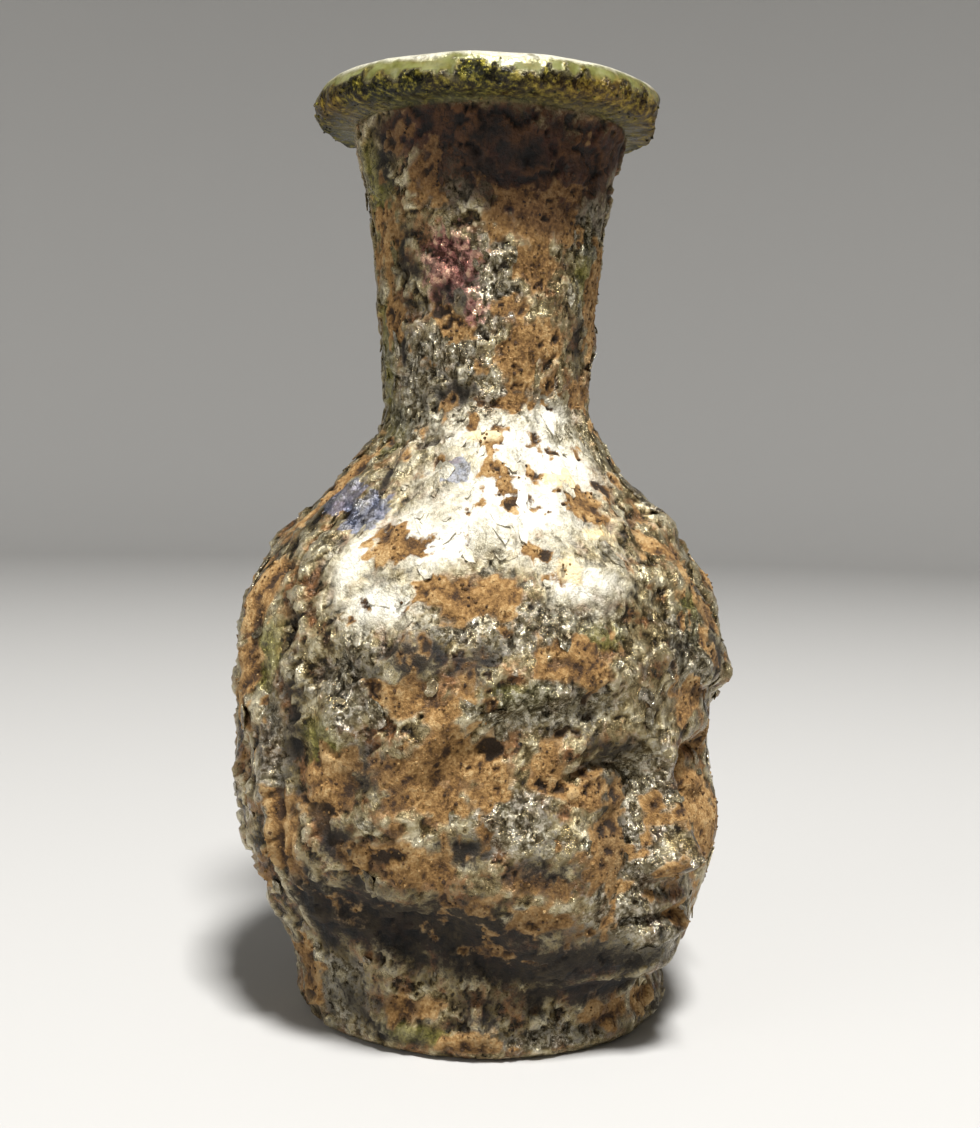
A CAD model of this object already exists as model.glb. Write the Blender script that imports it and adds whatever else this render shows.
import math

import bmesh
import bpy
import numpy as np
from mathutils import Euler, Matrix, Vector, noise


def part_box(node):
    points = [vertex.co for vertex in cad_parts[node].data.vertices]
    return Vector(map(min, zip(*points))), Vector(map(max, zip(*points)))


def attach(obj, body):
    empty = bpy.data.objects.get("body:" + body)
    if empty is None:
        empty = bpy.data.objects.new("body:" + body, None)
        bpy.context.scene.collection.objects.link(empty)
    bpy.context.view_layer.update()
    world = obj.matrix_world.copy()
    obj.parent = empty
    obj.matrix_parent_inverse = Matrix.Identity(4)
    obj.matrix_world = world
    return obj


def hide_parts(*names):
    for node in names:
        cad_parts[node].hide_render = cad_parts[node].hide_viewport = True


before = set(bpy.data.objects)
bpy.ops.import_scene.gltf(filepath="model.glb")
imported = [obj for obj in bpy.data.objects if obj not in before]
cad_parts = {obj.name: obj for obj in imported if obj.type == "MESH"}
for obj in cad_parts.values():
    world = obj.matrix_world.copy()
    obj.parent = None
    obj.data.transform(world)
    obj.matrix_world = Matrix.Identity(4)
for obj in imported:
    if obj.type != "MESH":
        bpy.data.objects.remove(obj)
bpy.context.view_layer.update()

MM = 0.001

# The camera stands close and a little above the shoulder, to the left of the way the face looks, so that
# the face turns to the right of the picture. Its angle of view is read from the curves of the lip and of
# the foot.
FRAME_TALL = 1128
VIEW_PIXELS = 1420  # distance from the eye to the picture, in pixels of that frame
EYE_AWAY = 130 * MM  # level distance from the flask's axis
EYE_HEIGHT = 48.1 * MM
EYE_TURN = math.radians(-45)
LOOK_DOWN = math.radians(3.55)
LOOK_ASIDE = math.radians(-0.33)
ROLL = math.radians(1.1)
SENSOR = 36

camera_data = bpy.data.cameras.new("photo_camera")
camera_data.sensor_fit = "VERTICAL"
camera_data.sensor_height = SENSOR
camera_data.lens = SENSOR * VIEW_PIXELS / FRAME_TALL
camera_data.clip_start = 0.01
camera = bpy.data.objects.new("photo_camera", camera_data)
camera.location = (EYE_AWAY * math.sin(EYE_TURN), -EYE_AWAY * math.cos(EYE_TURN), EYE_HEIGHT)
level = Euler((math.pi / 2 - LOOK_DOWN, 0, EYE_TURN + LOOK_ASIDE)).to_matrix()
camera.rotation_euler = (level @ Matrix.Rotation(ROLL, 3, "Z")).to_euler()
bpy.context.collection.objects.link(camera)
bpy.context.scene.camera = camera

# A plain pale floor that the flask stands on, which curves up into a wall far behind so that no edge
# shows. A lamp hangs high in front and a weak, broader one stands at the side, under a soft sky. None of
# it belongs to the flask.
FLOOR_REACH = 0.7
WALL_REACH = 1.3
WALL_HEIGHT = 1.6
SWEEP_COLUMNS = 64
SWEEP_RINGS = 12
FLOOR_COLOUR = (0.5, 0.49, 0.47, 1)
FLOOR_ROUGHNESS = 0.85
SKY_COLOUR = (0.97, 0.96, 0.94, 1)
SKY_STRENGTH = 0.13
LAMP_AIM = Vector((0, 0, 0.045))

sweep_points = []
for ring in range(SWEEP_RINGS + 1):
    rise = ring / SWEEP_RINGS
    reach = FLOOR_REACH + (WALL_REACH - FLOOR_REACH) * math.sin(rise * math.pi / 2)
    lift = WALL_HEIGHT * (1 - math.cos(rise * math.pi / 2))
    for column in range(SWEEP_COLUMNS):
        angle = 2 * math.pi * column / SWEEP_COLUMNS
        sweep_points.append((reach * math.sin(angle), -reach * math.cos(angle), lift))
sweep_faces = [tuple(range(SWEEP_COLUMNS))]
for ring in range(SWEEP_RINGS):
    for column in range(SWEEP_COLUMNS):
        low = ring * SWEEP_COLUMNS + column
        next_low = ring * SWEEP_COLUMNS + (column + 1) % SWEEP_COLUMNS
        sweep_faces.append((low, low + SWEEP_COLUMNS, next_low + SWEEP_COLUMNS, next_low))
floor_mesh = bpy.data.meshes.new("floor")
floor_mesh.from_pydata(sweep_points, [], sweep_faces)
floor_mesh.polygons.foreach_set("use_smooth", [True] * len(floor_mesh.polygons))
floor = bpy.data.objects.new("floor", floor_mesh)
bpy.context.collection.objects.link(floor)
floor_paint = bpy.data.materials.new("pale_floor")
floor_paint.use_nodes = True
floor_shader = floor_paint.node_tree.nodes["Principled BSDF"]
floor_shader.inputs["Base Color"].default_value = FLOOR_COLOUR
floor_shader.inputs["Roughness"].default_value = FLOOR_ROUGHNESS
floor.data.materials.append(floor_paint)

world = bpy.data.worlds.new("studio")
world.use_nodes = True
sky = world.node_tree.nodes["Background"]
sky.inputs["Color"].default_value = SKY_COLOUR
sky.inputs["Strength"].default_value = SKY_STRENGTH
bpy.context.scene.world = world


def lamp(name, place, size, watts):
    light = bpy.data.lights.new(name, "AREA")
    light.size = size
    light.energy = watts
    holder = bpy.data.objects.new(name, light)
    holder.location = place
    aim = LAMP_AIM - holder.location
    holder.rotation_euler = aim.to_track_quat("-Z", "Y").to_euler()
    bpy.context.collection.objects.link(holder)


lamp("key", (-0.15, -0.26, 0.7), 0.12, 10.5)
lamp("side", (-0.6, 0.1, 0.2), 0.4, 0.9)
bpy.context.scene.view_settings.view_transform = "Standard"

# The flask is one vessel of glass, blown into a two-part mould that shapes its body as a head, with a
# free neck and a thick lip. The mesh follows the solid's own form on a finer grid, so that the surface
# can carry wear and crust.
FLASK_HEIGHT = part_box("flask")[1][2] / MM
BASE_RADIUS = 16
FOOT_FLARE = 1.1
FOOT_TURN = 0.35
HEEL_RADIUS = 1.2
HEAD_RADIUS = 21.6
CHEEK_HEIGHT = 20.5
TEMPLE_HEIGHT = 30
SHOULDER_TOP = 54.5
NECK_RADIUS = 9
MOUTH_RADIUS = 12.2
LIP_RADIUS = 15.5
LIP_THICKNESS = 3
LIP_FLAT = 1
BODY_WALL = 2
NECK_WALL = 2.2
BASE_WALL = 3
FACE_HEIGHT = 31
CHIN_HEIGHT = 6
JAW_RISE = 8
JAW_DEPTH = 3
JAW_EDGE = 4.6
FACE_HALF_WIDTH = 22
FACE_INSET = 1.0
CHIN_INSET = 0.2
FRINGE_DROP = 5.5
CURL_RADIUS = 3.7
CURL_RELIEF = 1.9
FRINGE_CURLS = 13
CROWN_CURLS = 12
LOCKS = 17
FINE_LOCKS = 31
LOCK_RELIEF = 0.3
WALL_STEPS = (-0.7, -0.35, 0, 0.35, 0.7)  # places round a point where the inside is held to the wall

LIP_ROLL = LIP_THICKNESS / 2
LIP_UNDERSIDE = FLASK_HEIGHT - LIP_THICKNESS
THIRD = FACE_HEIGHT / 3
SKIN = FACE_HEIGHT / 33
FRINGE_HEIGHT = CHIN_HEIGHT + FACE_HEIGHT - FRINGE_DROP
OPENING_MIDDLE = CHIN_HEIGHT + 0.45 * FACE_HEIGHT


def clamp(x, low=0.0, high=1.0):
    return np.minimum(np.maximum(x, low), high)


def smoothstep(x, low, high):
    t = clamp((x - low) / (high - low))
    return t * t * (3 - 2 * t)


def lerp(a, b, t):
    return a + (b - a) * t


def bell(x):
    return np.exp(-x * x)


def dome(x):
    return np.maximum(1 - x * x, 0) ** 1.5


def fall(x, power=1.0):
    return (1 + np.cos(np.pi * clamp(x) ** power)) / 2


def vessel_radius(turn, height):
    up = (height - SHOULDER_TOP) / (LIP_UNDERSIDE - SHOULDER_TOP)
    neck = lerp(NECK_RADIUS, MOUTH_RADIUS, 0.45 * up + 0.55 * clamp(up) ** 3.5)
    over_temple = (height - TEMPLE_HEIGHT) / (SHOULDER_TOP - TEMPLE_HEIGHT)
    shoulder = lerp(NECK_RADIUS, HEAD_RADIUS, fall(over_temple, 1.44))
    spread = clamp(np.cos(turn - FOOT_TURN)) ** 1.5 * (1 - smoothstep(height, 1, CHIN_HEIGHT))
    foot = BASE_RADIUS + FOOT_FLARE * spread
    nape = lerp(HEAD_RADIUS, foot, fall(height / CHEEK_HEIGHT, 1.1))
    jawline = CHIN_HEIGHT + JAW_RISE * smoothstep(np.abs(turn), 0.25, 1.05)
    rise = clamp((height - jawline) / (CHEEK_HEIGHT - jawline))
    stump = foot + 0.06 * height
    jaw = lerp(stump + JAW_DEPTH, HEAD_RADIUS, np.sin(rise * np.pi / 2))
    front = lerp(stump, jaw, smoothstep(height, jawline - 0.6 * JAW_EDGE, jawline + 0.4 * JAW_EDGE))
    lower = lerp(nape, front, smoothstep(np.cos(turn), -0.1, 0.5))
    return np.where(height >= SHOULDER_TOP, neck, np.where(height >= TEMPLE_HEIGHT, shoulder, lower))


def feature_relief(across, height):
    side = np.abs(across) / SKIN
    up = (height - CHIN_HEIGHT) / SKIN
    third = THIRD / SKIN
    nose_base, brow = third, 2 * third
    eye, eye_side, eye_reach = brow - 3.7, 6.4, 3.4
    mouth = nose_base - 0.36 * third

    def spot(x, y, width, tall):
        return bell(np.hypot((side - x) / width, (up - y) / tall))

    forehead = 0.8 * spot(0, brow + 3.5, 9, 4.5)
    brow_line = brow + 0.8 - 0.05 * (side - 5.5) ** 2
    brow_ridge = 0.9 * bell((up - brow_line) / 1.5) * (1 - smoothstep(side, 9, 12.5))
    socket = -2.0 * spot(eye_side - 0.4, eye + 0.5, 4.3, 3.0) - 0.7 * spot(2.6, eye + 0.9, 1.6, 2.4)
    along = (side - eye_side) / eye_reach
    arch = np.maximum(1 - along * along, 0)
    lids_end = 1 - smoothstep(np.abs(along), 0.9, 1.25)
    eyeball = 1.5 * dome(np.hypot(along, (up - eye) / 2.5))
    upper_lid = 0.5 * bell((up - eye - 1.35 * arch - 0.1) / 0.5) * lids_end
    lower_lid = 0.35 * bell((up - eye + 1.1 * arch) / 0.45) * lids_end
    lid_fold = -0.3 * bell((up - eye - 1.35 * arch - 1.2) / 0.5) * lids_end
    nose_up = clamp((up - nose_base) / (brow - nose_base))
    nose_width = lerp(2.4, 1.55, smoothstep(nose_up, 0, 0.7))
    nose_lift = lerp(4.3, 1.0, smoothstep(nose_up, 0.1, 1.1) ** 0.85)
    nose_ends = smoothstep(up, nose_base - 1.2, nose_base + 0.8)
    nose_ends = nose_ends * (1 - smoothstep(up, brow - 1.5, brow + 3))
    nose = nose_lift * bell(side / nose_width) ** 1.15 * nose_ends
    nose_tip = 0.7 * dome(np.hypot(side / 2.3, (up - nose_base - 1.2) / 2.1))
    nostrils = 1.5 * dome(np.hypot((side - 2.6) / 1.7, (up - nose_base - 0.8) / 1.6))
    cheek = 1.3 * spot(9, nose_base + 2.0, 4.8, 5)
    fold_side = 4.6 + 0.35 * (nose_base + 1.5 - up)
    cheek_fold = -0.35 * bell((side - fold_side) / 0.9) * spot(5, nose_base - 1, 3.5, 2.6)
    muzzle = 1.3 * spot(0, mouth, 6, 4)
    bow = 0.35 * bell((side - 1.5) / 1.1) - 0.12 * side
    upper_lip = 0.95 * bell((up - mouth - 1.15 - bow) / 0.85) * (1 - smoothstep(side, 2.4, 5.2))
    lower_lip = 1.15 * bell((up - mouth + 1.35 - 0.1 * side) / 1) * (1 - smoothstep(side, 1.6, 4.6))
    lip_line = -0.85 * bell((up - mouth) / 0.5) * (1 - smoothstep(side, 3.6, 5.6))
    gutter = -0.3 * bell(side / 0.9) * spot(0, mouth + 2.8, 2, 1.2)
    under_lip = -0.7 * spot(0, mouth - 3.3, 3.6, 1.2)
    chin = 2.0 * spot(0, 3, 4.2, 2.8)
    return SKIN * (
        forehead + brow_ridge + socket + eyeball + upper_lid + lower_lid + lid_fold
        + nose + nose_tip + nostrils + cheek + cheek_fold
        + muzzle + upper_lip + lower_lip + lip_line + gutter + under_lip + chin
    )


def hair_share(across, height):
    up = np.maximum(height - OPENING_MIDDLE, 0) / (FRINGE_HEIGHT - OPENING_MIDDLE)
    wide = np.abs(across) / FACE_HALF_WIDTH
    return smoothstep((wide**3 + up**3) ** (1 / 3), 0.9, 1.04)


def point_out(turn, height, radius):
    return np.stack([radius * np.sin(turn), -radius * np.cos(turn), height + 0 * turn], axis=-1)


def curl_row(count, beyond_face, reach):
    swing = np.linspace(-reach, reach, count)
    across = (FACE_HALF_WIDTH + beyond_face) * np.sin(swing)
    height = OPENING_MIDDLE + (FRINGE_HEIGHT - OPENING_MIDDLE + beyond_face) * np.cos(swing)
    turn = across / HEAD_RADIUS
    return point_out(turn, height, vessel_radius(turn, height))


curls = np.concatenate([
    curl_row(FRINGE_CURLS, 0.7 * CURL_RADIUS, 1.95),
    curl_row(CROWN_CURLS, 2.4 * CURL_RADIUS, 1.75),
])
curl_share = [1.0] * FRINGE_CURLS + [0.6] * CROWN_CURLS


def hair_relief(turn, height, radius):
    here = point_out(turn, height, radius)
    heaped = 0
    nearest = np.full(np.shape(turn), 99.0)
    for curl, share in zip(curls, curl_share):
        away = np.linalg.norm(here - curl, axis=-1) / CURL_RADIUS
        heaped = heaped + share * bell(away / 0.85)
        nearest = np.minimum(nearest, away + 0.5 * (1 - share))
    knobs = CURL_RELIEF * (0.55 - np.exp(-1.3 * heaped))
    locks = np.cos(LOCKS * turn + 1.4 * np.sin(height / 4.5))
    fine_locks = 0.4 * np.cos(FINE_LOCKS * turn - 2.1 * np.sin(height / 6 + 1))
    return lerp(LOCK_RELIEF * (locks + fine_locks), knobs, 1 - smoothstep(nearest, 1.0, 1.9))


def outer_radius(turn, height):
    form = vessel_radius(turn, height)
    across = turn * HEAD_RADIUS
    above_stump = smoothstep(height, CHIN_HEIGHT - 3, CHIN_HEIGHT + 2)
    below_neck = 1 - smoothstep(height, SHOULDER_TOP - 8, SHOULDER_TOP)
    inset = lerp(CHIN_INSET, FACE_INSET, smoothstep(height, CHIN_HEIGHT, FRINGE_HEIGHT))
    face = feature_relief(across, height) - inset
    head = lerp(face, hair_relief(turn, height, form), hair_share(across, height))
    return form + above_stump * below_neck * head


def inner_radius(turn, height):
    """The inside lies a wall's thickness under every point of the outside near it."""
    wall = lerp(BODY_WALL, NECK_WALL, smoothstep(height, TEMPLE_HEIGHT, SHOULDER_TOP))
    reach = 1.35 * wall
    least = np.full(np.shape(turn), 99.0)
    for i in WALL_STEPS:
        for j in WALL_STEPS:
            outside = outer_radius(turn + i * reach / HEAD_RADIUS, height + j * reach)
            least = np.minimum(least, outside - wall * math.sqrt(max(1 - i * i - j * j, 0)))
    return least


COLUMNS = 300
UNDERSIDE_ROWS = 6
HEEL_ROWS = 5
OUTSIDE_ROWS = 248
ROLL_ROWS = 18
MOUTH_ROWS = 8
INSIDE_ROWS = 38
CROWDING = 0.4  # columns stand closer together on the side that shows most
CROWDED_TURN = -0.4
WALL_TOP = LIP_UNDERSIDE - 0.2

even = np.linspace(-np.pi, np.pi, COLUMNS, endpoint=False)
column_turns = even - CROWDING * np.sin(even - CROWDED_TURN)


def rings(row_heights, radius):
    """Rings of points at these heights. The radius is a number a ring, or depends on turn and height."""
    height = np.asarray(row_heights, float)[:, None] + 0 * column_turns
    turn = column_turns + 0 * height
    reach = radius(turn, height) if callable(radius) else radius[:, None] + 0 * turn
    return point_out(turn, height, reach)


def heel_rings(swings):
    drawn_in = HEEL_RADIUS * (1 - np.sin(swings))[:, None]
    heights = HEEL_RADIUS * (1 - np.cos(swings))
    return rings(heights, lambda turn, height: vessel_radius(turn, height) - drawn_in)


underside_shares = np.linspace(1 / UNDERSIDE_ROWS, 1, UNDERSIDE_ROWS)
underside = rings(np.zeros(UNDERSIDE_ROWS), (BASE_RADIUS - 2 * HEEL_RADIUS) * underside_shares)
heel = heel_rings(np.linspace(0, np.pi / 2, HEEL_ROWS)[:-1])
wall = rings(np.linspace(HEEL_RADIUS, WALL_TOP, OUTSIDE_ROWS), outer_radius)
roll_swings = np.radians(np.linspace(-90, 90, ROLL_ROWS))
roll_heights = FLASK_HEIGHT - LIP_ROLL + LIP_ROLL * np.sin(roll_swings)
roll = rings(roll_heights, LIP_RADIUS - LIP_ROLL + LIP_ROLL * np.cos(roll_swings))
bore_top = LIP_UNDERSIDE - 1.5 * LIP_THICKNESS
bore_radius = float(vessel_radius(0.0, bore_top)) - NECK_WALL
funnel = np.linspace(0, 1, MOUTH_ROWS)[:-1]
mouth_radii = lerp(LIP_RADIUS - LIP_ROLL - LIP_FLAT, bore_radius, 1 - (1 - funnel) ** 2.2)
mouth = rings(FLASK_HEIGHT - (FLASK_HEIGHT - bore_top) * funnel, mouth_radii)
bore = rings(np.linspace(bore_top, BASE_WALL + 2, INSIDE_ROWS), inner_radius)
floor_shares = np.array([0.97, 0.85, 0.6, 0.3])
inner_floor = rings(BASE_WALL + np.array([1.2, 0.2, 0, 0]), (BASE_RADIUS - BODY_WALL) * floor_shares)

skin = np.concatenate([underside, heel, wall, roll, mouth, bore, inner_floor])
first_inside = len(skin) - len(inner_floor) - len(bore) - len(mouth)
first_outside = len(underside) + len(heel)
turn_at = np.arctan2(skin[..., 0], -skin[..., 1])
height_at = skin[..., 2]
radius_at = np.hypot(skin[..., 0], skin[..., 1])
row_at = np.arange(len(skin))[:, None] + 0 * turn_at
outside_at = ((row_at >= first_outside) & (row_at < first_inside)).astype(float)

# Weathering that is thick enough to be felt. Places are degrees round from the middle of the face and
# millimetres up, each with half its width and half its height.
EARTH_PATCHES = [
    (-28, 69, 3.4, 1.8), (-22, 66, 2.6, 1.8), (28, 63, 2.0, 5.0), (-27, 58.5, 3.8, 2.8),
    (-109, 69, 2.0, 4.0), (-102, 62, 1.3, 3.0), (-34, 54.2, 3.0, 0.9), (-52, 52.2, 0.8, 1.3),
    (16, 55.3, 2.4, 1.4), (-62, 60.2, 1.0, 1.2), (-67, 42, 3.2, 1.7), (-47, 38.8, 4.8, 2.0),
    (-10, 45.8, 2.5, 1.6), (9, 42, 2.2, 1.4), (-33, 42.3, 0.8, 0.7), (-112, 47, 2.0, 4.0),
    (-106, 37, 3.0, 4.0), (-110, 31, 2.6, 5.0), (-24, 34, 3.6, 1.9), (-56, 30.5, 3.6, 2.2),
    (-52, 24.5, 5.2, 5.2), (-60, 17.5, 4.6, 2.0), (-30, 25.5, 2.0, 1.6), (-21, 22.8, 2.0, 1.4),
    (17, 21, 3.6, 7.0), (-32, 13.3, 3.0, 1.4), (2, 12.4, 2.0, 1.2), (-91, 18, 1.8, 5.0),
    (10, 30, 3.0, 2.0), (-78, 24, 3.0, 3.0), (-30, 71.2, 5.0, 1.2), (-6, 70, 2.4, 3.0),
    (-101, 5.5, 2.2, 3.0), (-64, 4.2, 2.6, 1.2), (-44, 1.4, 3.0, 1.3), (-5, 3, 3.0, 1.5),
    (14, 2.8, 2.4, 1.3),
]
BLOOM_PATCHES = [
    (-36, 45.5, 7.5, 4.6), (-14, 49, 4.5, 3.0), (-58, 43, 4.6, 3.2), (-20, 39.5, 3.6, 1.8),
    (-68, 38, 3.0, 2.4), (-8, 53, 3.0, 1.6), (-34, 50.5, 6.0, 3.0), (-78, 41, 2.0, 3.0),
]
STAIN_PATCHES = [
    (-34, 74.8, 8.0, 3.6), (4, 75, 5.0, 3.2), (-68, 76.8, 6.0, 2.0), (22, 77, 4.0, 2.0),
    (-20, 71, 4.0, 2.0),
]
GLOOM_PATCHES = [
    (-51, 11.2, 9.0, 3.2), (-30, 8.8, 9.0, 2.2), (-70, 12.0, 6.0, 3.4), (-10, 5.8, 6.0, 1.4),
    (-93, 58.4, 0.4, 1.3), (-82, 48, 0.4, 1.3), (-88, 12, 3.0, 4.0), (-76, 18.6, 1.6, 1.4),
]
DARK_FILM_PATCHES = [
    (-55, 33.6, 4.6, 1.7), (-68, 24, 2.4, 3.0), (-14, 26.5, 2.6, 1.4), (-15, 20, 2.0, 4.0),
    (-30, 17, 4.0, 1.6), (-48, 19, 2.6, 2.0), (-90, 26, 1.4, 5.0), (-62, 55, 3.0, 1.4),
    (-88, 66, 1.8, 4.0), (14, 60, 1.6, 4.0), (-40, 75, 4.0, 2.0), (-100, 74, 2.4, 3.0),
    (20, 34, 1.6, 5.0), (-60, 63.5, 1.6, 1.6),
]
HOLES = [
    (-43, 27, 1.1, 0.7), (-66, 17.4, 1.0, 1.2), (-80, 20.5, 0.9, 1.4), (-71, 50.6, 1.2, 0.5),
    (-100, 39.5, 0.6, 1.0), (150, 30, 1.4, 0.8), (118, 18, 0.9, 1.2), (-150, 24, 1.0, 1.4),
    (75, 33, 1.3, 0.6),
]
HOLE_DEPTH = 0.55
SILVER_PATCHES = [
    (-70, 57, 4.5, 3.4), (-58, 53.5, 7.0, 2.4), (-7, 53, 2.0, 1.8), (-8, 23.5, 3.0, 3.0),
    (-12, 14.5, 3.0, 3.4), (0, 10.5, 3.4, 2.2), (10, 34, 3.0, 2.4), (-88, 4.5, 3.0, 2.2),
    (-20, 1.6, 4.0, 1.2), (-95, 24, 1.6, 6.0), (-12, 18.5, 3.0, 4.0), (-38, 36.5, 6.0, 1.6),
    (-72, 32, 2.0, 4.0), (-38, 21, 3.0, 2.0), (-46, 64, 2.0, 4.0), (-60, 73, 2.4, 2.4),
    (10, 70, 2.0, 3.0), (-30, 30.4, 4.0, 1.4),
]
ROSE_PATCHES = [(-63, 65.7, 2.2, 2.7), (-51, 62, 0.9, 1.0)]
BLUE_PATCHES = [(-83, 44.7, 1.9, 1.5), (-97, 45.8, 2.0, 1.3), (-56, 48.1, 1.3, 0.8)]
CREAM_PATCHES = [
    (-10, 43.4, 1.6, 0.5), (-24, 40.4, 1.1, 0.9), (-45, 51.1, 1.5, 0.5), (-16, 47.6, 1.4, 0.5),
]
GREEN_PATCHES = [
    (-80, 26.4, 2.2, 2.2), (-108, 72, 2.5, 5), (-113, 58, 2, 5), (-99, 52, 2, 2), (-100, 33, 2, 3),
    (12, 66, 1.6, 3), (-36, 31, 3, 1.2), (12, 36.4, 1.8, 2.4), (-62, 2, 2.8, 0.8),
    (-19, 35.6, 2.4, 1.0),
]
CRUST_UNDER = LIP_UNDERSIDE + 0.55 * LIP_THICKNESS
AMBER_PATCHES = [(30, 79.6, 6.0, 1.6), (-8, 79.4, 5.0, 0.9), (-112, 79.4, 3.0, 1.2)]
SEAM_TURN = math.radians(97)
SEAM_RELIEF = 0.35
PLATE_RISE = 0.26  # a raised plate of film above a sunk one
PLATE_SPREAD = 0.12  # the rest of the difference between one plate and another
PLATE_CURL = 0.12  # the lift of a raised plate along its edge
CRACK_DEPTH = 0.12
CHIP_RISE = 0.1
PIT_DEPTH = 0.35
EARTH_THICKNESS = 0.24
STRAND_RELIEF = 0.24
STRANDS = 40
GLOOM_DEPTH = 0.3
CREAM_THICKNESS = 0.25
SMOOTH_RELIEF = 0.12  # on the lip and inside, where the glass is clean
SEED = 7

noise.seed_set(SEED)  # without it, the noise vectors start from the time of day


def cover(patches):
    """1 in the middle of each patch, a half at its edge, 0 far away and on the inside."""
    most = 0 * turn_at
    for degrees, up, wide, tall in patches:
        along = (turn_at - math.radians(degrees)) * radius_at
        most = np.maximum(most, bell(0.83 * np.hypot(along / wide, (height_at - up) / tall)))
    return most * outside_at


flat_points = [Vector(point) for point in skin.reshape(-1, 3)]


def grain(size, octaves=3):
    """Smooth chance values, mostly between -0.5 and 0.5, that vary over this many millimetres."""
    start = Vector((size * 7.1, size * 3.3, size * 5.7))
    values = [noise.fractal(point / size + start, 1.0, 2.0, octaves) for point in flat_points]
    return np.reshape(values, turn_at.shape)


def cells(size, wobble):
    """The skin in crooked cells: each one's own chance value, and how far its middle and its edge are."""
    chance, middle, edge = [], [], []
    for point in flat_points:
        place = point / size + wobble * noise.noise_vector(point / (0.6 * size))
        away, sites = noise.voronoi(place)
        chance.append(math.sin(sites[0].dot(Vector((12.99, 78.23, 37.72)))) * 43758.5 % 1.0)
        middle.append(away[0])
        edge.append(away[1] - away[0])
    return [np.reshape(values, turn_at.shape) for values in (chance, middle, edge)]


wide_grain = grain(13, 2)
middle_grain = grain(5, 3)
patch_grain = grain(2.4, 3)
fine_grain = grain(0.9, 2)
plate, _, plate_edge = cells(3.2, 0.7)
chip, chip_middle, _ = cells(1.6, 0.5)

on_lip = smoothstep(height_at, LIP_UNDERSIDE - 0.6, LIP_UNDERSIDE + 0.3)
crust_edge = height_at + 0.9 * patch_grain + 0.9 * fine_grain
lip_crust = on_lip * (1 - smoothstep(crust_edge, CRUST_UNDER - 0.3, CRUST_UNDER + 0.3))
lip_dust = smoothstep(height_at + 0.4 * patch_grain, FLASK_HEIGHT - 1.0, FLASK_HEIGHT - 0.3)
lip_dust = lip_dust * on_lip * outside_at
earth_chance = np.maximum(cover(EARTH_PATCHES), (0.2 + 0.6 * wide_grain) * outside_at * (1 - on_lip))
earth = smoothstep(earth_chance + 0.6 * patch_grain + 0.3 * fine_grain, 0.35, 0.85)
bloom = clamp(cover(BLOOM_PATCHES) + 0.3 * patch_grain)
above_chin = smoothstep(height_at, CHIN_HEIGHT - 2, CHIN_HEIGHT + 2)
on_face = (1 - hair_share(turn_at * HEAD_RADIUS, height_at)) * above_chin
on_body = (1 - on_lip) * outside_at
gloom = clamp(cover(GLOOM_PATCHES) + 0.25 * patch_grain)
gloom = np.maximum(gloom, clamp(0.62 * cover(DARK_FILM_PATCHES) + 0.4 * patch_grain * on_body))
hole = smoothstep(cover(HOLES) + 0.7 * patch_grain + 0.4 * fine_grain, 0.35, 0.75)
under_lip = on_lip * (1 - smoothstep(height_at, LIP_UNDERSIDE + 0.1, LIP_UNDERSIDE + 0.9)) * outside_at
gloom = np.maximum(gloom, 0.75 * under_lip)
gloom = np.maximum(gloom, (0.35 + 0.4 * middle_grain) * (1 - smoothstep(height_at, 4, 16)) * outside_at)
stain = clamp(1.15 * cover(STAIN_PATCHES) + 0.25 * patch_grain)
silver = clamp(cover(SILVER_PATCHES) + 0.3 * patch_grain)
rose = clamp(cover(ROSE_PATCHES) + 0.3 * fine_grain) * smoothstep(cover(ROSE_PATCHES), 0.05, 0.3)
blue = smoothstep(cover(BLUE_PATCHES) + 0.3 * fine_grain, 0.35, 0.55)
cream = smoothstep(cover(CREAM_PATCHES) + 0.2 * fine_grain, 0.4, 0.5)
green = clamp(cover(GREEN_PATCHES) + 0.3 * patch_grain)
amber = clamp(cover(AMBER_PATCHES) + 0.4 * patch_grain) * on_lip
bare = on_lip * (1 - lip_crust) * (0.6 + 0.4 * outside_at) * (1 - 0.7 * lip_dust)
bloom = np.maximum(bloom * (1 - on_lip), 0.9 * lip_dust)

plates_raised = smoothstep(plate, 0.45, 0.55)
lifted = PLATE_CURL * bell((plate_edge - 0.06) / 0.07) * plates_raised
film = PLATE_RISE * plates_raised + PLATE_SPREAD * plate + lifted - CRACK_DEPTH * bell(plate_edge / 0.04)
film = film + CHIP_RISE * smoothstep(chip, 0.5, 0.6)
pits = PIT_DEPTH * dome(chip_middle / 0.34) * smoothstep(chip, 0.9, 0.94)
crumbs = EARTH_THICKNESS + 0.35 * patch_grain + 0.16 * fine_grain
seam = SEAM_RELIEF * bell((np.abs(turn_at) - SEAM_TURN) * radius_at / 0.8)
seam = seam * (1 - smoothstep(height_at, 44, 54))
on_head = 1 - smoothstep(height_at, SHOULDER_TOP - 6, SHOULDER_TOP + 2)
lumps = (0.35 + 0.65 * on_head) * (1 - 0.7 * on_face) * (0.4 * wide_grain + 0.6 * middle_grain)
beside = smoothstep(np.abs(turn_at), 1.4, 1.6) * (1 - 0.3 * smoothstep(np.abs(turn_at), 2.2, 2.6))
at_back = smoothstep(np.abs(turn_at), 2.0, 2.6)
combed = beside * smoothstep(height_at, 9, 14) * (1 - smoothstep(height_at, 38, 48))
strands = (STRAND_RELIEF + 0.1 * at_back) * np.cos(STRANDS * turn_at + 3 * middle_grain) * combed
dirt_relief = (1 - 0.45 * on_face) * (1 - 0.45 * bloom) * (1 - 0.45 * at_back) * lerp(film, crumbs, earth)
body_relief = (1 - 0.4 * at_back) * lumps + strands + dirt_relief + seam
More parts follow.
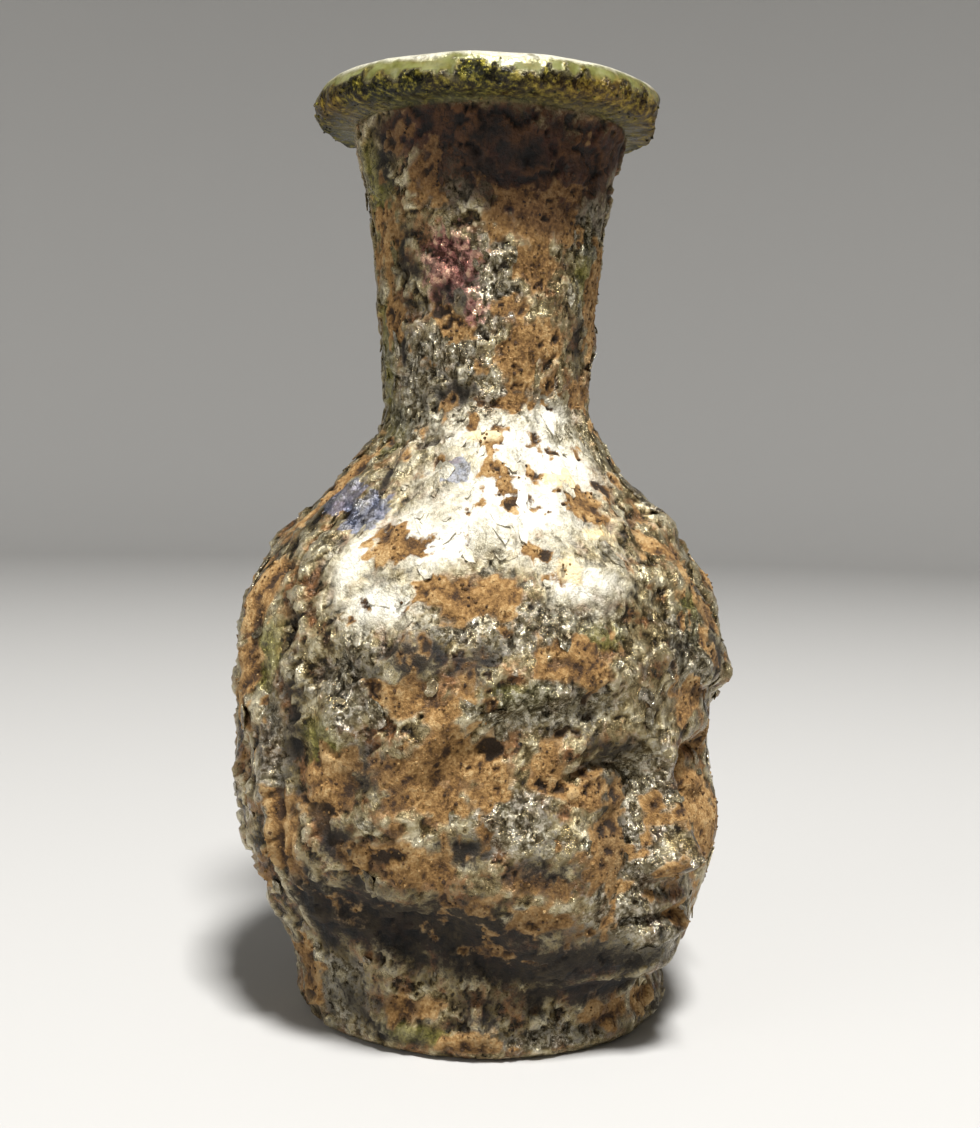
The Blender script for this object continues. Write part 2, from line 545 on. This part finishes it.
body_relief = body_relief - pits * (1 - 0.75 * on_face) - GLOOM_DEPTH * gloom
body_relief = body_relief + CREAM_THICKNESS * cream - HOLE_DEPTH * hole
body_relief = body_relief + (0.15 + 0.5 * patch_grain) * (1 - smoothstep(height_at, 1.5, 5))
clean_relief = SMOOTH_RELIEF * middle_grain
lip_relief = clean_relief + lip_crust * (0.2 + 0.35 * patch_grain + 0.2 * fine_grain)
relief = np.where(row_at >= first_inside, clean_relief, lerp(body_relief, lip_relief, on_lip))
relief = relief * smoothstep(row_at, first_outside - 4, first_outside + 3)
into_mouth = smoothstep(row_at, first_inside - 1, first_inside + 1)
past_mouth = smoothstep(row_at, first_inside + 3, first_inside + 8)
relief = relief * (1 - into_mouth * (1 - past_mouth))


def blurred(values, rounds=8):
    """The values evened out with their neighbours, this many times over."""
    for _ in range(rounds):
        values = (np.roll(values, 1, 1) + 2 * values + np.roll(values, -1, 1)) / 4
        inner = (values[:-2] + 2 * values[1:-1] + values[2:]) / 4
        values = np.concatenate([values[:1], inner, values[-1:]])
    return values


STANDS_OUT_FULLY = 0.16
standing_out = relief - blurred(relief)
hollow = clamp(-standing_out / STANDS_OUT_FULLY)
high = clamp(standing_out / STANDS_OUT_FULLY)

around = np.roll(skin, -1, axis=1) - np.roll(skin, 1, axis=1)
upward = np.gradient(skin, axis=0)
normals = np.cross(around, upward)
normals /= np.maximum(np.linalg.norm(normals, axis=-1, keepdims=True), 1e-9)
worn = skin + normals * relief[..., None]
# A flat chip in the lip, where a splinter broke off its outer edge.
CHIP_TURN = math.radians(42)
CHIP_REACH = LIP_RADIUS - 0.7
CHIP_SLOPE = 0.25
chip_way = np.array([math.sin(CHIP_TURN), -math.cos(CHIP_TURN), -CHIP_SLOPE])
chipped = worn @ chip_way + CHIP_SLOPE * (LIP_UNDERSIDE + LIP_ROLL) - CHIP_REACH + 0.25 * fine_grain
chipped = clamp(chipped, 0, 2) * smoothstep(height_at, LIP_UNDERSIDE, LIP_UNDERSIDE + 0.5)
worn = worn - chipped[..., None] * chip_way
# The tip of the nose stands out furthest, so it is rubbed round.
NOSE_TIP_HEIGHT = CHIN_HEIGHT + FACE_HEIGHT / 3 + 0.8
rubbed = cover([(0, NOSE_TIP_HEIGHT, 4.0, 3.6)])[..., None]
worn = lerp(worn, blurred(worn, 8), rubbed)
worn[..., 2] = clamp(worn[..., 2], 0, FLASK_HEIGHT)

points = np.concatenate([worn.reshape(-1, 3), [[0, 0, 0], [0, 0, BASE_WALL]]]) * MM
column = np.arange(COLUMNS)
after = (column + 1) % COLUMNS
start = COLUMNS * np.arange(len(skin) - 1)[:, None]
band_corners = [start + column, start + after, start + after + COLUMNS, start + column + COLUMNS]
bands = np.stack(band_corners, axis=-1)
last = COLUMNS * (len(skin) - 1)
bottom = [(len(points) - 2, int(after[i]), i) for i in range(COLUMNS)]
inner_bottom = [(len(points) - 1, last + i, last + int(after[i])) for i in range(COLUMNS)]
flask_mesh = bpy.data.meshes.new("flask_glass")
flask_mesh.from_pydata(points.tolist(), [], bands.reshape(-1, 4).tolist() + bottom + inner_bottom)
flask_mesh.polygons.foreach_set("use_smooth", [True] * len(flask_mesh.polygons))
layers = {"earth": earth, "bloom": bloom, "gloom": gloom, "silver": silver, "rose": rose, "blue": blue}
layers.update({"cream": cream, "green": green, "bare": bare, "lip_crust": lip_crust})
layers.update({"pit": np.maximum(clamp(pits / 0.3), hole), "hollow": hollow, "high": high})
layers.update({"stain": stain, "amber": amber})
for name, values in layers.items():
    attribute = flask_mesh.attributes.new(name, "FLOAT", "POINT")
    attribute.data.foreach_set("value", np.append(values.ravel(), [0, 0]).astype(np.float32))
flask = bpy.data.objects.new("flask_glass", flask_mesh)
bpy.context.collection.objects.link(flask)

# The glass has weathered into a grey-green film that shines like metal in places, bloomed white on the
# shoulder, and is caked with orange earth. Only the lip still shows clear yellow-green glass.
FACET_SIZE = 0.5  # of the glinting splinters in the film, in millimetres
SCALE_SIZE = 1.25  # of the dull scales it cracks into
SCALE_WARP = 3.2
GLOOM_TINT = (0.06, 0.046, 0.028, 1)
STAIN_TINT = (0.15, 0.065, 0.02, 1)
EARTH_ROUGHNESS = 0.92
BARE_ROUGHNESS = 0.2
BARE_TRANSMISSION = 0.35
GLASS_IOR = 1.5
FACET_TILT = 0.6
BUMP_DISTANCE = 0.2 * MM

weathered = bpy.data.materials.new("weathered_glass")
weathered.use_nodes = True
tree = weathered.node_tree
shader = tree.nodes["Principled BSDF"]


def colour(red, green_part, blue_part):
    """A screen colour in 256 steps as the plain light values that the shader takes."""
    return tuple(((part / 255 + 0.055) / 1.055) ** 2.4 for part in (red, green_part, blue_part)) + (1,)


def node(kind, sockets, **settings):
    made = tree.nodes.new(kind)
    for name, value in settings.items():
        setattr(made, name, value)
    for key, value in sockets.items():
        if isinstance(value, bpy.types.NodeSocket):
            tree.links.new(value, made.inputs[key])
        else:
            made.inputs[key].default_value = value
    return made


def layer(name):
    return node("ShaderNodeAttribute", {}, attribute_name=name).outputs["Fac"]


def maths(operation, first, second=0.0, third=0.0):
    return node("ShaderNodeMath", {0: first, 1: second, 2: third}, operation=operation).outputs[0]


def step(value, low, high):
    sockets = {"Value": value, "From Min": low, "From Max": high}
    return node("ShaderNodeMapRange", sockets, interpolation_type="SMOOTHSTEP").outputs["Result"]


def blend(share, first, second):
    return node("ShaderNodeMix", {0: share, 6: first, 7: second}, data_type="RGBA").outputs[2]


def tinted(share, first, tint):
    sockets = {0: share, 6: first, 7: tint}
    return node("ShaderNodeMix", sockets, data_type="RGBA", blend_type="MULTIPLY").outputs[2]


def ramp(value, *stops):
    made = node("ShaderNodeValToRGB", {"Fac": value})
    elements = made.color_ramp.elements
    while len(elements) < len(stops):
        elements.new(0.5)
    for element, (place, tone) in zip(elements, stops):
        element.position = place
        element.color = tone
    return made.outputs["Color"]


def vector(operation, first, second=(0, 0, 0)):
    return node("ShaderNodeVectorMath", {0: first, 1: second}, operation=operation).outputs[0]


def scaled(value, share):
    return node("ShaderNodeVectorMath", {0: value, "Scale": share}, operation="SCALE").outputs[0]


in_mm = scaled(node("ShaderNodeTexCoord", {}).outputs["Object"], 1 / MM)


def speckle(size, detail=5, roughness=0.6):
    sockets = {"Vector": in_mm, "Scale": 1 / size, "Detail": detail, "Roughness": roughness}
    return node("ShaderNodeTexNoise", sockets).outputs["Fac"]


mottle = speckle(3, 4, 0.7)
fine = speckle(0.6, 5, 0.72)
grit = speckle(0.25, 2, 0.6)
facet = node("ShaderNodeTexVoronoi", {"Vector": in_mm, "Scale": 1 / FACET_SIZE})
facet_colour = facet.outputs["Color"]
facet_chance = node("ShaderNodeSeparateColor", {0: facet_colour}).outputs[0]
spread = maths("MULTIPLY", maths("SUBTRACT", fine, 0.5), SCALE_WARP)
warped = vector("ADD", in_mm, spread)
scale_sockets = {"Vector": warped, "Scale": 1 / SCALE_SIZE}
crack_cells = node("ShaderNodeTexVoronoi", scale_sockets, feature="DISTANCE_TO_EDGE")
crack = maths("SUBTRACT", 1.0, step(crack_cells.outputs["Distance"], 0.015, 0.06))
scale_colour = node("ShaderNodeTexVoronoi", scale_sockets).outputs["Color"]
scale_chance = node("ShaderNodeSeparateColor", {0: scale_colour}).outputs[1]


def ragged(name, low, high, by_fine, by_mottle=0.0):
    """A layer whose edge is broken up by the two speckles."""
    centred = maths("SUBTRACT", layer(name), 0.5 * (by_fine + by_mottle))
    pushed = maths("MULTIPLY_ADD", fine, by_fine, centred)
    return step(maths("MULTIPLY_ADD", mottle, by_mottle, pushed), low, high)


def times(first, second):
    return maths("MULTIPLY", first, second)


def but(value):
    return maths("SUBTRACT", 1.0, value)


film_tone = maths("MULTIPLY_ADD", fine, 0.5, times(mottle, 0.6))
film_tone = maths("MULTIPLY_ADD", scale_chance, 0.07, film_tone)
film_tone = maths("MULTIPLY_ADD", layer("hollow"), -0.18, film_tone)
film_tone = maths("MULTIPLY_ADD", layer("high"), 0.11, film_tone)
film_colour = ramp(
    film_tone,
    (0.44, colour(34, 27, 13)),
    (0.51, colour(92, 78, 48)),
    (0.57, colour(130, 115, 80)),
    (0.64, colour(166, 153, 118)),
    (0.77, colour(220, 210, 180)),
)
rust = step(maths("MULTIPLY_ADD", fine, 0.5, times(but(mottle), 0.8)), 0.64, 0.82)
film_colour = blend(times(rust, 0.7), film_colour, colour(146, 100, 58))
dusty = step(maths("MULTIPLY_ADD", fine, 0.8, layer("earth")), 0.42, 0.9)
film_colour = blend(times(dusty, 0.55), film_colour, colour(158, 120, 78))
olive = ramp(fine, (0.35, colour(50, 48, 16)), (0.65, colour(168, 162, 80)))
film_colour = blend(times(ragged("green", 0.2, 0.8, 0.6), 0.75), film_colour, olive)
silvery = ragged("silver", 0.1, 0.6, 1.2)
foil = ramp(fine, (0.4, colour(46, 40, 28)), (0.5, colour(118, 111, 92)), (0.62, colour(210, 206, 192)))
film_colour = blend(times(silvery, 0.7), film_colour, foil)
bloomed = ragged("bloom", 0.05, 0.95, 1.1, 0.4)
bloom_tone = maths("MULTIPLY_ADD", scale_chance, 0.12, times(layer("bloom"), 0.6))
bloom_tone = maths("MULTIPLY_ADD", fine, 0.5, bloom_tone)
bloom_colour = ramp(
    bloom_tone,
    (0.35, colour(158, 149, 122)),
    (0.65, colour(206, 199, 176)),
    (0.9, colour(240, 236, 222)),
)
film_colour = blend(times(bloomed, 0.92), film_colour, bloom_colour)
crack_share = times(times(crack, step(mottle, 0.47, 0.58)), but(times(bloomed, 0.4)))
film_colour = blend(times(crack_share, 0.6), film_colour, colour(48, 40, 26))
earth_tone = maths("MULTIPLY_ADD", layer("hollow"), -0.24, times(mottle, 0.6))
earth_tone = maths("MULTIPLY_ADD", fine, 0.55, earth_tone)
earth_tone = maths("MULTIPLY_ADD", grit, 0.35, earth_tone)
earth_tone = maths("MULTIPLY_ADD", layer("high"), 0.08, earth_tone)
earth_colour = ramp(
    earth_tone,
    (0.54, colour(56, 36, 15)),
    (0.67, colour(112, 80, 39)),
    (0.77, colour(149, 113, 64)),
    (0.92, colour(192, 160, 110)),
)
earthy = ragged("earth", 0.3, 0.7, 1.5, 0.4)
surface = blend(earthy, film_colour, earth_colour)
surface = blend(times(layer("cream"), 0.9), surface, colour(232, 212, 168))
blue_grey = ramp(fine, (0.35, colour(58, 62, 76)), (0.65, colour(134, 144, 172)))
surface = blend(times(ragged("blue", 0.3, 0.7, 1.4), 0.65), surface, blue_grey)
rosy = ragged("rose", 0.2, 0.6, 1.5)
pink_tone = maths("MULTIPLY_ADD", facet_chance, 0.25, maths("MULTIPLY_ADD", layer("hollow"), -0.2, fine))
pink = ramp(
    pink_tone,
    (0.45, colour(60, 36, 32)),
    (0.62, colour(160, 104, 100)),
    (0.8, colour(230, 190, 160)),
)
surface = blend(times(rosy, 0.8), surface, pink)
gloomy = times(ragged("gloom", 0.2, 0.7, 1.6, 0.8), but(times(earthy, 0.6)))
surface = tinted(gloomy, surface, GLOOM_TINT)
stained = times(ragged("stain", 0.15, 0.75, 1.3, 0.6), but(times(earthy, 0.35)))
surface = tinted(stained, surface, STAIN_TINT)
surface = blend(times(ragged("pit", 0.45, 0.75, 0.5), 0.6), surface, colour(40, 31, 19))
glass_colour = ramp(
    mottle,
    (0.35, colour(112, 112, 52)),
    (0.5, colour(142, 144, 84)),
    (0.65, colour(172, 174, 122)),
)
amber_colour = ramp(fine, (0.4, colour(66, 44, 12)), (0.6, colour(168, 128, 46)))
glass_colour = blend(times(layer("amber"), 0.7), glass_colour, amber_colour)
surface = blend(layer("bare"), surface, glass_colour)
crust_colour = ramp(
    fine,
    (0.42, colour(12, 12, 5)),
    (0.5, colour(44, 42, 13)),
    (0.58, colour(112, 104, 32)),
    (0.7, colour(176, 160, 72)),
)
crust_colour = blend(times(layer("amber"), 0.45), crust_colour, amber_colour)
surface = blend(layer("lip_crust"), surface, crust_colour)
tree.links.new(surface, shader.inputs["Base Color"])

glinting = maths("MULTIPLY_ADD", step(mottle, 0.42, 0.56), 0.35, 0.5)
shine = maths("MAXIMUM", maths("MAXIMUM", times(silvery, 0.95), times(rosy, 0.9)), glinting)
dirty = maths("MAXIMUM", maths("MAXIMUM", earthy, times(gloomy, 0.8)), times(stained, 0.7))
dirty = maths("MAXIMUM", dirty, times(bloomed, 0.6))
matt = maths("MAXIMUM", dirty, layer("bare"))
tree.links.new(times(shine, but(matt)), shader.inputs["Metallic"])
film_rough = maths("MULTIPLY_ADD", scale_chance, 0.2, maths("MULTIPLY_ADD", silvery, -0.06, 0.16))
rough = node("ShaderNodeMix", {0: dirty, 2: film_rough, 3: EARTH_ROUGHNESS}).outputs[0]
rough = node("ShaderNodeMix", {0: layer("bare"), 2: rough, 3: BARE_ROUGHNESS}).outputs[0]
tree.links.new(rough, shader.inputs["Roughness"])

facet_tilt = vector("SUBTRACT", facet_colour, (0.5, 0.5, 0.5))
faceted = times(but(matt), FACET_TILT)
bumps = maths("MULTIPLY_ADD", scale_chance, 0.5, maths("MULTIPLY_ADD", fine, 1.6, grit))
bump_strength = maths("MULTIPLY_ADD", layer("bare"), -0.6, 0.7)
bump_sockets = {"Height": bumps, "Strength": bump_strength, "Distance": BUMP_DISTANCE}
bumped = node("ShaderNodeBump", bump_sockets).outputs["Normal"]
tilted = vector("ADD", bumped, scaled(facet_tilt, faceted))
tree.links.new(vector("NORMALIZE", tilted), shader.inputs["Normal"])
tree.links.new(times(layer("bare"), BARE_TRANSMISSION), shader.inputs["Transmission Weight"])
shader.inputs["IOR"].default_value = GLASS_IOR
flask_mesh.materials.append(weathered)
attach(flask, "root")
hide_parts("flask")

# Thin plates of the weathered film that have sprung loose from the flask. Each is still held at one edge
# and lifted a little at the other, so it is a closed sliver that starts inside the skin, of the same
# weathered glass.
FLAKES = 640
FLAKE_HEIGHTS = (5, 74)
FLAKE_REACH = (0.4, 1.4)
FLAKE_LIFT = (0.05, 0.3)
FLAKE_THICKNESS = 0.12
FLAKE_SUNK = 0.05
FLAKE_CORNERS = 9
FLAKE_RINGS = (0.12, 0.55, 1.0)
CREAM_FLAKES = 0.06  # the share of them that is tinged with cream

chance = np.random.default_rng(SEED)
lying = skin + normals * blurred(relief, 3)[..., None]
row_step = (WALL_TOP - HEEL_RADIUS) / (OUTSIDE_ROWS - 1)


def on_skin(values, turn, height):
    """The values of the grid between its rings and columns."""
    column = np.interp((turn + np.pi) % (2 * np.pi) - np.pi, column_turns, np.arange(COLUMNS))
    row = first_outside + (height - HEEL_RADIUS) / row_step
    left, low = np.floor(column).astype(int), np.floor(row).astype(int)
    aside, above = (column - left)[..., None], (row - low)[..., None]
    right = (left + 1) % COLUMNS
    values = values if values.ndim == 3 else values[..., None]
    lower = lerp(values[low, left], values[low, right], aside)
    return lerp(lower, lerp(values[low + 1, left], values[low + 1, right], aside), above)


def at_spot(values, turn, height):
    return float(on_skin(values, np.array(turn), np.array(height))[0])


def sliver(turn, height, reach, lift):
    """The points of one flake, its upper side first, and its faces."""
    swing = np.linspace(0, 2 * np.pi, FLAKE_CORNERS, endpoint=False)
    stretch, lift_way = chance.uniform(0, np.pi, 2)
    outline = reach * chance.uniform(0.6, 1.0, FLAKE_CORNERS) * (1 + 0.35 * np.cos(2 * (swing - stretch)))
    shares = np.array(FLAKE_RINGS)[:, None]
    across, up = shares * outline * np.cos(swing), shares * outline * np.sin(swing)
    tilt = smoothstep((across * np.cos(2 * lift_way) + up * np.sin(2 * lift_way)) / reach, -0.7, 1.0)
    place_turn, place_height = turn + across / HEAD_RADIUS, height + up
    middle = on_skin(lying, place_turn, place_height)
    out = on_skin(normals, place_turn, place_height)
    top = middle + out * (lift * tilt - FLAKE_SUNK + FLAKE_THICKNESS)[..., None]
    under = top - out * FLAKE_THICKNESS
    count = len(FLAKE_RINGS) * FLAKE_CORNERS
    faces = []
    for ring in range(len(FLAKE_RINGS) - 1):
        for corner in range(FLAKE_CORNERS):
            following = (corner + 1) % FLAKE_CORNERS
            a, b = ring * FLAKE_CORNERS + corner, ring * FLAKE_CORNERS + following
            c, d = b + FLAKE_CORNERS, a + FLAKE_CORNERS
            faces += [(d, c, b, a), (count + a, count + b, count + c, count + d)]
    middle_corners = range(FLAKE_CORNERS)
    faces += [tuple(middle_corners), tuple(count + corner for corner in reversed(middle_corners))]
    rim = (len(FLAKE_RINGS) - 1) * FLAKE_CORNERS
    for corner in range(FLAKE_CORNERS):
        a, b = rim + corner, rim + (corner + 1) % FLAKE_CORNERS
        faces.append((a, count + a, count + b, b))
    return np.concatenate([top.reshape(-1, 3), under.reshape(-1, 3)]), faces


def piece_of_dirt(name, points, faces, layers, smooth):
    """A mesh of many small bodies in the flask's own material, with the same layers."""
    dirt_mesh = bpy.data.meshes.new(name)
    dirt_mesh.from_pydata((points * MM).tolist(), [], faces)
    dirt_mesh.polygons.foreach_set("use_smooth", [smooth] * len(dirt_mesh.polygons))
    for layer_name, values in layers.items():
        made = dirt_mesh.attributes.new(layer_name, "FLOAT", "POINT")
        made.data.foreach_set("value", np.asarray(values, np.float32))
    dirt_mesh.materials.append(weathered)
    dirt = bpy.data.objects.new(name, dirt_mesh)
    bpy.context.collection.objects.link(dirt)
    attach(dirt, "root")


flake_points, flake_faces = [], []
flake_layers = {name: [] for name in ("bloom", "silver", "cream", "green", "stain", "gloom")}
wanted = np.maximum(np.maximum(bloom, silver), 0.35) * (1 - smoothstep(earth, 0.3, 0.7))
wanted = wanted * (1 - clamp(gloom))
while len(flake_points) < FLAKES:
    turn, height = chance.uniform(-np.pi, np.pi), chance.uniform(*FLAKE_HEIGHTS)
    if chance.random() > at_spot(wanted, turn, height):
        continue
    reach = FLAKE_REACH[0] + (FLAKE_REACH[1] - FLAKE_REACH[0]) * chance.random() ** 2.2
    made_points, made_faces = sliver(turn, height, reach, chance.uniform(*FLAKE_LIFT))
    first = sum(len(points) for points in flake_points)
    flake_points.append(made_points)
    flake_faces += [tuple(first + corner for corner in face) for face in made_faces]
    here = {name: at_spot(layers[name], turn, height) for name in flake_layers}
    creamy, _, shiny = chance.random(3)
    here["cream"] = max(here["cream"], 0.3 * float(creamy < CREAM_FLAKES))
    here["silver"] = max(here["silver"], shiny)
    for name, value in here.items():
        flake_layers[name] += [value] * len(made_points)
piece_of_dirt("film_flakes", np.concatenate(flake_points), flake_faces, flake_layers, False)

# Crumbs of the earth that the flask lay in, grains of sand and clay stuck on the caked places and under
# the lip. They are small lumps pressed into the skin, matt and of the earth's own colour.
CRUMBS = 1800
CRUMB_RADIUS = (0.06, 0.16)
CRUMB_PRESSED = 0.45

golden = (1 + math.sqrt(5)) / 2
lump_corners = [(0, a, b * golden) for a in (-1, 1) for b in (-1, 1)]
lump_corners += [(z, x, y) for x, y, z in lump_corners] + [(y, z, x) for x, y, z in lump_corners]
lump = bmesh.new()
for corner in lump_corners:
    lump.verts.new(Vector(corner).normalized())
bmesh.ops.convex_hull(lump, input=lump.verts)
bmesh.ops.subdivide_edges(lump, edges=lump.edges, cuts=1, use_grid_fill=True)
lump.verts.ensure_lookup_table()
lump_points = np.array([vertex.co.normalized() for vertex in lump.verts])
lump_faces = [tuple(vertex.index for vertex in face.verts) for face in lump.faces]
lump.free()

sticky = (smoothstep(earth, 0.4, 0.9) + 0.4 * lip_crust) * outside_at * radius_at
rows, columns = np.unravel_index(
    chance.choice(sticky.size, CRUMBS, replace=False, p=(sticky / sticky.sum()).ravel()), sticky.shape
)
crumb_points, crumb_faces = [], []
crumb_layers = {name: [] for name in ("earth", "lip_crust", "high", "hollow", "gloom", "stain")}
for number, (row, column_number) in enumerate(zip(rows, columns)):
    size = lerp(*CRUMB_RADIUS, chance.random() ** 2)
    stretched = lump_points * chance.uniform(0.7, 1.25, 3)
    shape = stretched * (1 + 0.22 * chance.standard_normal((len(lump_points), 1)))
    middle = worn[row, column_number] + normals[row, column_number] * size * (1 - 2 * CRUMB_PRESSED)
    crumb_points.append(middle + shape * size)
    crumb_faces += [tuple(number * len(lump_points) + corner for corner in face) for face in lump_faces]
    crusty = lip_crust[row, column_number]
    tone = chance.random()
    own = {"earth": 1 - crusty, "lip_crust": crusty, "high": tone, "hollow": 1 - tone}
    own.update({name: layers[name][row, column_number] for name in ("gloom", "stain")})
    for name, value in own.items():
        crumb_layers[name] += [value] * len(lump_points)
crumb_points = np.concatenate(crumb_points)
crumb_points[:, 2] = clamp(crumb_points[:, 2], 0, FLASK_HEIGHT)
piece_of_dirt("earth_crumbs", crumb_points, crumb_faces, crumb_layers, True)
